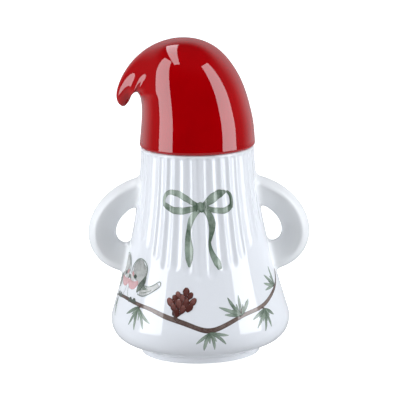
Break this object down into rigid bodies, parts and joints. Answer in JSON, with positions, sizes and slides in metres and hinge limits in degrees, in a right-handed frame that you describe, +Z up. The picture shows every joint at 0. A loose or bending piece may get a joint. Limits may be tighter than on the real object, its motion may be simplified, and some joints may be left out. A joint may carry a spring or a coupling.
{
  "type": "gnome figurine jar",
  "caption": "Small glazed porcelain gnome with a fluted flaring body, two ear-shaped arms and a red curled hat that lifts off as a lid.",
  "frame": {"origin": "centre of the foot ring's resting plane", "axes": "+Z up through the hat, the decorated front faces -Y, the hat's curl points to -X"},
  "size_m": [0.0836, 0.0676, 0.12],
  "materials": {
    "white_glaze": "high gloss",
    "red_glaze": "high gloss",
    "bare_porcelain": "matt",
    "green_decor": "high gloss",
    "brown_decor": "high gloss",
    "rose_decor": "high gloss",
    "grey_decor": "high gloss"
  },
  "bodies": {
    "jar": {"body": "white_glaze", "left_arm": "white_glaze", "right_arm": "white_glaze"},
    "lid": {"hat": "red_glaze"}
  },
  "joints": [
    {"name": "hat_lift", "type": "slide", "parent": "jar", "child": "lid", "axis": [0, 0, 1], "range_m": [0, 0.04]}
  ]
}
